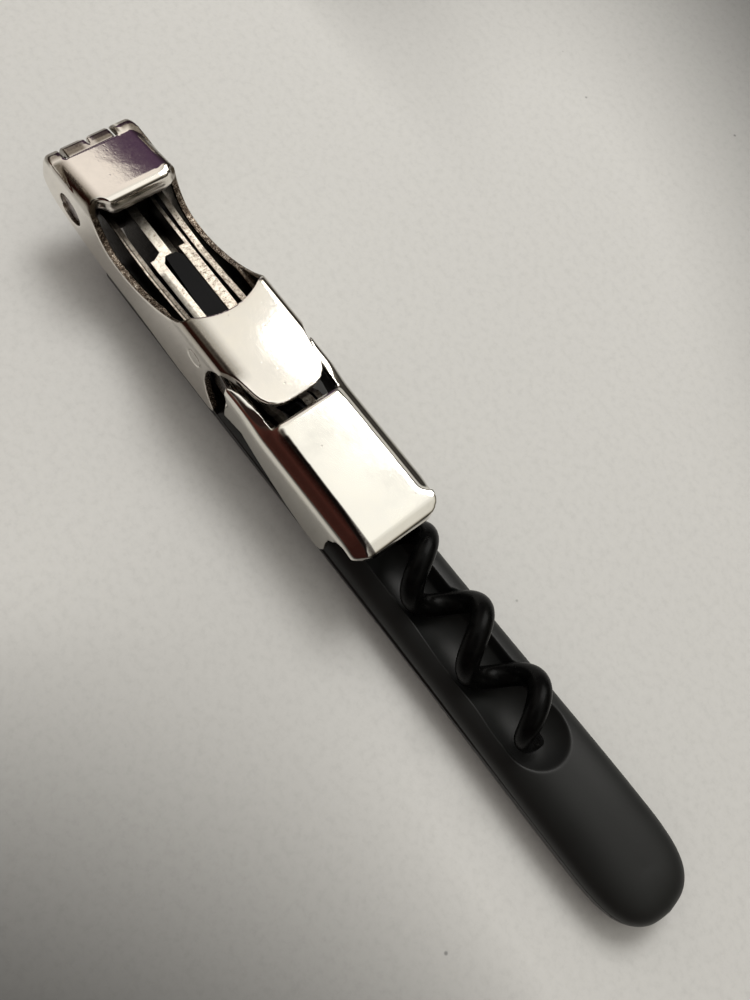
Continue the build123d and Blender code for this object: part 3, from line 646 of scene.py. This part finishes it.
def build_worm():
    c, radius = worm_line()
    t = np.gradient(c, axis=0)
    t /= np.linalg.norm(t, axis=1, keepdims=True)
    # parallel transport
    n = np.array([0.0, 0.0, 1.0])
    n -= t[0] * n.dot(t[0])
    n /= np.linalg.norm(n)
    frames = []
    for i in range(len(c)):
        n = n - t[i] * n.dot(t[i])
        n /= np.linalg.norm(n)
        frames.append((n.copy(), np.cross(t[i], n)))
    seg = 48
    verts, faces, fmat = [], [], []
    for i, p in enumerate(c):
        for k in range(seg):
            a = 2 * math.pi * k / seg
            verts.append(p + (frames[i][0] * math.cos(a) + frames[i][1] * math.sin(a)) * radius[i])
    # ground tip: the wire is cut on a slant, the cut is bare, and its rim is eased
    ground = set()
    for i in range(len(c) - 75, len(c)):
        for k in range(seg):
            p = verts[i * seg + k]
            if p[1] < -1.25 or p[2] > 9.4:
                continue
            h = float(np.dot(p - SLANT_P, SLANT_N))
            if h > -0.10:
                ease = 0.10 * (1 - math.exp(-(h + 0.10) / 0.10)) - 0.10 if h < 0.4 else 0.0
                verts[i * seg + k] = p - SLANT_N * (h - min(ease, 0.0)) / np.dot(SLANT_N, SLANT_N)
                if h > 0.10:
                    ground.add(i * seg + k)
    for i in range(len(c) - 1):
        for k in range(seg):
            k2 = (k + 1) % seg
            f = (i * seg + k, i * seg + k2, (i + 1) * seg + k2, (i + 1) * seg + k)
            faces.append(f)
            fmat.append(1 if all(q in ground for q in f) else 0)
    last = len(c) - 1
    verts.append(np.mean([verts[last * seg + k] for k in range(seg)], axis=0))
    ctr = len(verts) - 1
    for k in range(seg):
        faces.append((last * seg + k, last * seg + (k + 1) % seg, ctr))
        fmat.append(1)
    # cap at the eye end
    verts.append(c[0])
    c0 = len(verts) - 1
    for k in range(seg):
        faces.append(((k + 1) % seg, k, c0))
        fmat.append(0)
    ob = new_object("worm_wire", verts, faces)
    for p, mi in zip(ob.data.polygons, fmat):
        p.material_index = mi
    # the eye, bevelled and pierced
    import bmesh
    bm = bmesh.new()
    outline = []
    for k in range(40):
        a = math.radians(60 + 240 * k / 39)
        outline.append((WX + 2.45 * math.cos(a), WZ + 2.45 * math.sin(a)))
    outline += [(46.6, 7.75), (48.4, 8.7), (48.6, 10.7), (46.6, 11.65)]
    hole = [(WX + 1.3 * math.cos(2 * math.pi * k / 36), WZ + 1.3 * math.sin(2 * math.pi * k / 36)) for k in range(36)]
    half = 0.92
    lo = [bm.verts.new(P(x, -half, z)) for x, z in outline]
    hi = [bm.verts.new(P(x, half, z)) for x, z in outline]
    hl = [bm.verts.new(P(x, -half, z)) for x, z in hole]
    hh = [bm.verts.new(P(x, half, z)) for x, z in hole]
    nO, nH = len(outline), len(hole)
    for i in range(nO):
        bm.faces.new((lo[i], hi[i], hi[(i + 1) % nO], lo[(i + 1) % nO]))
    for i in range(nH):
        bm.faces.new((hl[(i + 1) % nH], hh[(i + 1) % nH], hh[i], hl[i]))
    for ring_o, ring_h in ((lo, hl), (hi, hh)):
        edges = []
        for r_ in (ring_o, ring_h):
            for i in range(len(r_)):
                e = bm.edges.get((r_[i], r_[(i + 1) % len(r_)]))
                edges.append(e)
        bmesh.ops.triangle_fill(bm, use_beauty=True, edges=edges)
    bmesh.ops.recalc_face_normals(bm, faces=bm.faces)
    me = bpy.data.meshes.new("worm_eye")
    bm.to_mesh(me)
    bm.free()
    eye = bpy.data.objects.new("worm_eye", me)
    SC.collection.objects.link(eye)
    b = eye.modifiers.new("ease", "BEVEL")
    b.limit_method = "ANGLE"
    b.angle_limit = math.radians(40)
    b.width = 0.25 * MM
    b.segments = 3
    return ob, eye


wire, eye = build_worm()
co = get_co(wire.data)
co[:, 0] += SHIFT
set_co(wire.data, co * MM)
put(wire, MAT["worm"], MAT["ground"])
put(eye, MAT["worm"])
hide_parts("worm")
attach(wire, "worm")
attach(eye, "worm")

# ------------------------------------------------------------- upper shell
PLAN_X = np.array([30.0, 45.0, 60.0, 72.0, 82.0, 90.0, 98.0, 104.0, 108.5, 111.8, 114.0, 115.4, 116.0])
PLAN_W = np.array([5.70, 5.70, 5.72, 5.76, 5.87, 6.02, 6.14, 6.17, 6.08, 5.60, 4.60, 2.90, 0.0])
SEAM, SHELL_X0 = 4.2, 36.7


def outline_points():
    """The +Y side of the plan outline from the front end to the butt, evenly spaced."""
    pts = np.stack([PLAN_X, PLAN_W], 1)
    # centripetal Catmull-Rom through the table
    ext = np.vstack([2 * pts[0] - pts[1], pts, [pts[-1][0], -2.9]])
    out = []
    for i in range(1, len(ext) - 2):
        p0, p1, p2, p3 = ext[i - 1], ext[i], ext[i + 1], ext[i + 2]
        k = np.sqrt([np.linalg.norm(p1 - p0), np.linalg.norm(p2 - p1), np.linalg.norm(p3 - p2)])
        t0, t1, t2, t3 = 0, k[0], k[0] + k[1], k.sum()
        for t in np.linspace(t1, t2, 60, endpoint=False):
            a1 = (t1 - t) / (t1 - t0) * p0 + (t - t0) / (t1 - t0) * p1
            a2 = (t2 - t) / (t2 - t1) * p1 + (t - t1) / (t2 - t1) * p2
            a3 = (t3 - t) / (t3 - t2) * p2 + (t - t2) / (t3 - t2) * p3
            b1 = (t2 - t) / (t2 - t0) * a1 + (t - t0) / (t2 - t0) * a2
            b2 = (t3 - t) / (t3 - t1) * a2 + (t - t1) / (t3 - t1) * a3
            out.append((t2 - t) / (t2 - t1) * b1 + (t - t1) / (t2 - t1) * b2)
    out.append(pts[-1])
    out = np.array(out)
    out = out[out[:, 0] >= SHELL_X0]
    out = np.vstack([[SHELL_X0, np.interp(SHELL_X0, PLAN_X, PLAN_W)], out])
    seg = np.linalg.norm(np.diff(out, axis=0), axis=1)
    s = np.concatenate([[0], np.cumsum(seg)])
    n = 470
    u = np.linspace(0, s[-1], n)
    return np.stack([np.interp(u, s, out[:, 0]), np.interp(u, s, out[:, 1])], 1)


wire_line = np.array([worm_centre(x) for x in np.linspace(60, HEND, 560)] + list(worm_line()[0][-110:]))


def smin(a, b, k):
    h = np.clip(0.5 + 0.5 * (b - a) / k, 0, 1)
    return b * (1 - h) + a * h - k * h * (1 - h)


def shell_height(x, y):
    """Unfinished: looks up the plan half-width at x and returns None; nothing calls it."""
    w = np.interp(x, PLAN_X, PLAN_W)
    return None


def dig(x, y, z):
    """The moulded trough and its rounded end; the wire's pockets are cut in build_shell."""
    a = np.abs(y)
    # floor of the trough is round about the worm's axis; its walls stand steeper
    half = 2.9 + 0.45 * sstep(70, 80, x) + 0.35 * sstep(84, 89, x) + 0.25 * (y < 0)
    floor_r = 4.85
    floor = 9.7 - np.sqrt(np.maximum(floor_r ** 2 - a ** 2, 0.01))
    right = y > 0
    wall = 4.85 + np.maximum(a - half + 0.45 + 0.5 * right, 0) * np.where(right, 2.3, 4.2)
    tr = np.maximum(floor, wall)
    # rounded end
    ex, er = 90.9, 4.85
    d = np.sqrt((x - ex) ** 2 + a ** 2)
    bowl = 9.7 - np.sqrt(np.maximum(er ** 2 - d ** 2, 0.0)) + np.maximum(d - er + 0.02, 0) * 50
    tr = np.where(x > ex, bowl, np.where(x > ex - 2.5, np.minimum(tr, bowl), tr))
    return tr


def build_shell():
    side = outline_points()
    n = len(side)
    xc = 110.2
    spine_x = np.minimum(side[:, 0], xc - 3.2 + 3.2 * (1 - np.exp(-np.maximum(side[:, 0] - (xc - 3.2), 0) / 3.2)))
    m = 84
    # spacing across: finer near the rim
    s = np.linspace(0, 1, m + 1)
    s = s ** 1.35
    X = side[:, 0][:, None] + (spine_x - side[:, 0])[:, None] * s[None, :]
    Y = side[:, 1][:, None] * (1 - s[None, :])
    D = np.linalg.norm(side - np.stack([spine_x, 0 * spine_x], 1), axis=1)
    H = 3.36 - 0.25 * sstep(100, 114, side[:, 0]) + 0.06 * sstep(60, 95, side[:, 0])
    e = 2.35
    Z = SEAM + H[:, None] * (1 - (1 - s[None, :]) ** e) ** (1 / e)
    # under the boot the shell stays low and its front end is rounded
    fx = np.clip((X - SHELL_X0) / 1.7, 0, 1)
    Z = SEAM + (Z - SEAM) * np.sqrt(np.clip(1 - (1 - fx) ** 2, 0, 1))
    low = 1 - sstep(60.6, 62.2, X)
    Z = Z - low * np.maximum(Z - 6.9, 0) * 0.6
    sides = []
    for sg in (1, -1):
        x, y, z = X, Y * sg, Z.copy()
        t = dig(x, y, z)
        z = np.where(x > 44.0, smin(z, t, 0.28), z)
        # the wire's pockets
        pts = np.stack([x.ravel(), y.ravel()], 1)
        pocket = np.full(len(pts), 99.0)
        for c in wire_line[::3]:
            d2 = (pts[:, 0] - c[0]) ** 2 + (pts[:, 1] - c[1]) ** 2
            r = WR + 0.32
            ok = d2 < (r + 0.6) ** 2
            zz = c[2] - np.sqrt(np.maximum(r * r - d2[ok], 0)) + np.maximum(np.sqrt(d2[ok]) - r, 0) * 6
            pocket[ok] = np.minimum(pocket[ok], zz)
        pocket = pocket.reshape(z.shape)
        z = smin(z, np.maximum(pocket, 4.7), 0.30)
        z = np.maximum(z, SEAM + 0.02)
        sides.append((x, y, z))
    verts, faces = [], []
    idx = []
    for x, y, z in sides:
        base = len(verts)
        verts += list(np.stack([x.ravel(), y.ravel(), z.ravel()], 1))
        idx.append(base)
    w = m + 1
    for q, base in enumerate(idx):
        for i in range(n - 1):
            for j in range(m):
                a, b, c, d = base + i * w + j, base + (i + 1) * w + j, base + (i + 1) * w + j + 1, base + i * w + j + 1
                faces.append((a, b, c, d) if q == 0 else (d, c, b, a))
    # flat underside just above the seam, so that the seam reads as a thin black line
    for q, (x, y, z) in enumerate(sides):
        base = len(verts)
        rim = np.stack([x[:, 0], y[:, 0], np.full(n, SEAM + 0.10)], 1)
        verts += list(rim)
        inner = rim.copy()
        inner[:, 1] *= 0.90
        inner[:, 0] = np.minimum(inner[:, 0], 115.3)
        inner[:, 2] = SEAM + 0.10
        verts += list(inner)
        for i in range(n - 1):
            a, b = idx[q] + i * w, idx[q] + (i + 1) * w
            c, d = base + i, base + i + 1
            f1 = (a, c, d, b)
            f2 = (c, base + n + i, base + n + i + 1, d)
            faces.append(f1 if q == 0 else f1[::-1])
            faces.append(f2 if q == 0 else f2[::-1])
    verts = np.array(verts)
    verts[:, 0] += SHIFT
    ob = new_object("upper_shell_skin", verts * MM, faces)
    import bmesh
    bm = bmesh.new()
    bm.from_mesh(ob.data)
    bmesh.ops.remove_doubles(bm, verts=bm.verts, dist=0.000004)
    bmesh.ops.dissolve_degenerate(bm, dist=0.000002, edges=bm.edges)
    bm.to_mesh(ob.data)
    bm.free()
    ob.data.polygons.foreach_set("use_smooth", [True] * len(ob.data.polygons))
    return ob


shell = build_shell()
co = get_co(shell.data)
e = get_edges(shell.data)
zt = co[:, 2] / MM
co = laplace(co, e, sstep(4.9, 5.3, zt) * 1.0, 3, 0.5)
set_co(shell.data, co)
put(shell, MAT["upper"])
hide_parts("handle_upper_shell")
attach(shell, "handle")

# ------------------------------------------------------------ floor and light
bpy.ops.mesh.primitive_plane_add(size=3.0, location=(0, 0, 0))
floor = bpy.context.object
floor.name = "floor"
m, nt, b, v = tree("paper_floor")
n1 = noise(nt, v, 9.0, 3.0, 0.5)
n2 = noise(nt, v, 900.0, 4.0, 0.7)
n3 = noise(nt, v, 260.0, 3.0, 0.6)
base = ramp(nt, n1, [(0.3, (0.610, 0.607, 0.588)), (0.7, (0.635, 0.632, 0.612))])
dust = ramp(nt, voronoi(nt, v, 95.0), [(0.0, 0.40), (0.016, 0.60), (0.028, 1.0)])
dark = math_(nt, "MULTIPLY", ramp(nt, n2, [(0.30, 0.93), (0.5, 1.0), (0.72, 1.03)]), dust)
mul = nt.nodes.new("ShaderNodeMix")
mul.data_type = "RGBA"
mul.blend_type = "MULTIPLY"
mul.inputs[0].default_value = 1.0
nt.links.new(base, mul.inputs[6])
nt.links.new(dark, mul.inputs[7])
# the paper lies in shade towards two corners
sp = nt.nodes.new("ShaderNodeSeparateXYZ")
nt.links.new(v, sp.inputs[0])
FX, FY = math_(nt, "MULTIPLY", sp.outputs[0], 20.0), math_(nt, "MULTIPLY", sp.outputs[1], 20.0)


def quadratic(c):
    terms = [(c[1], FX), (c[2], FY), (c[3], math_(nt, "MULTIPLY", FX, FX)), (c[4], math_(nt, "MULTIPLY", FX, FY)), (c[5], math_(nt, "MULTIPLY", FY, FY))]
    q = math_(nt, "ADD", math_(nt, "MULTIPLY", terms[0][1], terms[0][0]), c[0])
    for k, t in terms[1:]:
        q = math_(nt, "ADD", q, math_(nt, "MULTIPLY", t, k))
    return math_(nt, "MINIMUM", math_(nt, "MAXIMUM", q, 0.0), 1.6)


near = mapr(nt, math_(nt, "SUBTRACT", FX, math_(nt, "MULTIPLY", FY, 0.67)), -0.1, 0.35, 0.0, 1.0)
q1 = math_(nt, "MULTIPLY", quadratic((0.226, -0.704, 0.732, 0.026, -1.873, 1.076)), math_(nt, "MULTIPLY", near, mapr(nt, FY, 0.05, -0.15, 0.0, 1.0)))
q2 = math_(nt, "MULTIPLY", quadratic((1.19, -0.605, -2.211, 0.363, 0.691, 0.997)), mapr(nt, FY, 0.95, 1.35, 0.0, 1.0))
dim = math_(nt, "POWER", 2.71828, math_(nt, "MULTIPLY", math_(nt, "ADD", q1, q2), -1.0))
# deep shade close in beside the boot, where the tool stands over the paper
bx, by = math_(nt, "ADD", FX, 0.370), math_(nt, "SUBTRACT", FY, 0.190)
away = math_(nt, "SQRT", math_(nt, "ADD", math_(nt, "MULTIPLY", bx, bx), math_(nt, "MULTIPLY", by, by)))
dim = math_(nt, "MULTIPLY", dim, mapr(nt, away, 0.028, 0.062, 0.06, 1.0))
shade = nt.nodes.new("ShaderNodeMix")
shade.data_type = "RGBA"
shade.blend_type = "MULTIPLY"
shade.inputs[0].default_value = 1.0
nt.links.new(dim, shade.inputs[6])
shade.inputs[7].default_value = (1, 1, 1, 1)
mul2 = nt.nodes.new("ShaderNodeMix")
mul2.data_type = "RGBA"
mul2.blend_type = "MULTIPLY"
mul2.inputs[0].default_value = 1.0
nt.links.new(mul.outputs[2], mul2.inputs[6])
nt.links.new(shade.outputs[2], mul2.inputs[7])
nt.links.new(mul2.outputs[2], b.inputs["Base Color"])
b.inputs["Roughness"].default_value = 0.75
b.inputs["Specular IOR Level"].default_value = 0.25
nt.links.new(bump(nt, n2, 0.12, 0.0001, bump(nt, n3, 0.08, 0.0002)), b.inputs["Normal"])
put(floor, m)

world = bpy.data.worlds.new("studio")
SC.world = world
world.use_nodes = True
wt = world.node_tree
wt.nodes.clear()
wo = wt.nodes.new("ShaderNodeOutputWorld")
bg = wt.nodes.new("ShaderNodeBackground")
wt.links.new(bg.outputs[0], wo.inputs[0])
tc = wt.nodes.new("ShaderNodeTexCoord")
sep = wt.nodes.new("ShaderNodeSeparateXYZ")
wt.links.new(tc.outputs["Generated"], sep.inputs[0])
DX, DY, DZ = sep.outputs[0], sep.outputs[1], sep.outputs[2]
def dot3(v):
    n = wt.nodes.new("ShaderNodeVectorMath")
    n.operation = "DOT_PRODUCT"
    wt.links.new(tc.outputs["Generated"], n.inputs[0])
    n.inputs[1].default_value = tuple(Vector(v).normalized())
    return n.outputs["Value"]


# a bright ceiling that falls off to dark walls
sky = ramp(wt, DZ, [(0.0, (0.026, 0.024, 0.022)), (0.28, (0.045, 0.040, 0.034)), (0.50, (0.150, 0.135, 0.105)),
                    (0.66, (0.42, 0.40, 0.35)), (0.80, (0.66, 0.645, 0.60)), (0.885, (0.74, 0.725, 0.68)), (0.92, (0.87, 0.86, 0.815)), (1.0, (0.84, 0.825, 0.785))])
# a window past the hinge end, low enough to fill the sloping hinge plate
win = mapr(wt, dot3((-0.80, 0.24, 0.52)), 0.90, 0.965, 0.0, 1.0)
sky = mix(wt, win, sky, (0.74, 0.685, 0.635))
# a dark bench in front, warm low down
front = math_(wt, "MULTIPLY", mapr(wt, DY, -0.20, -0.55, 0.0, 1.0), mapr(wt, DZ, 0.70, 0.45, 0.0, 1.0))
sky = mix(wt, front, sky, (0.052, 0.017, 0.013))
dark = mapr(wt, dot3((0.10, -0.50, 0.86)), 0.80, 0.90, 0.0, 1.0)
sky = mix(wt, dark, sky, (0.018, 0.010, 0.009))
# a violet card beside the window: it shows in a third of the hinge plate
card = math_(wt, "MULTIPLY", mapr(wt, math_(wt, "SUBTRACT", DY, math_(wt, "MULTIPLY", DX, 0.38)), 0.598, 0.610, 0.0, 1.0),
             mapr(wt, DX, -0.64, -0.68, 0.0, 1.0))
sky = mix(wt, card, sky, (0.060, 0.034, 0.062))
wt.links.new(sky, bg.inputs["Color"])
bg.inputs["Strength"].default_value = 1.35


def area(name, loc, target, size, energy, color=(1, 1, 1), size_y=None):
    d = bpy.data.lights.new(name, "AREA")
    d.energy = energy
    d.size = size
    if size_y:
        d.shape = "RECTANGLE"
        d.size_y = size_y
    d.color = color
    o = bpy.data.objects.new(name, d)
    SC.collection.objects.link(o)
    o.location = loc
    o.rotation_euler = (Vector(target) - Vector(loc)).to_track_quat("-Z", "Y").to_euler()
    return o


# one lamp throws the shadow, a broader one beside it shows in the plated and the black surfaces
key = area("key", (-0.14, 0.185, 0.45), (0.0, 0.0, 0), 0.20, 1.30, (1.0, 0.985, 0.96))
key.visible_glossy = False
sheen = area("sheen", (-0.08, 0.360, 0.40), (-0.02, 0.052, 0), 0.34, 1.88, (1.0, 0.985, 0.96))
sheen.visible_diffuse = False
fill = area("fill", (0.02, -0.34, 0.36), (0.0, 0.0, 0), 0.45, 0.32, (1.0, 0.985, 0.96))
fill.visible_glossy = False

# ---------------------------------------------------------------------- camera
cam_data = bpy.data.cameras.new("camera")
cam = bpy.data.objects.new("camera", cam_data)
SC.collection.objects.link(cam)
rv = np.array([-0.338, -0.195, -0.005])


def rotation(v):
    th = float(np.linalg.norm(v))
    k = v / th
    K = np.array([[0, -k[2], k[1]], [k[2], 0, -k[0]], [-k[1], k[0], 0]])
    return np.eye(3) + math.sin(th) * K + (1 - math.cos(th)) * K @ K


R = rotation(rv) @ np.array([[0.6, 0.8, 0.0], [0.8, -0.6, 0.0], [0.0, 0.0, -1.0]])
right, down, forward = R
M = Matrix(((right[0], -down[0], -forward[0], 0.0161113),
            (right[1], -down[1], -forward[1], -0.0359988),
            (right[2], -down[2], -forward[2], 0.1089789),
            (0, 0, 0, 1)))
cam.matrix_world = M
cam_data.sensor_fit = "AUTO"
cam_data.sensor_width = 36.0
cam_data.lens = 36.0 * 899.537 / 1000.0
cam_data.clip_start = 0.005
cam_data.clip_end = 10.0
SC.camera = cam
SC.view_settings.view_transform = "Standard"
SC.view_settings.look = "None"
SC.view_settings.exposure = 0.0
SC.view_settings.gamma = 1.0
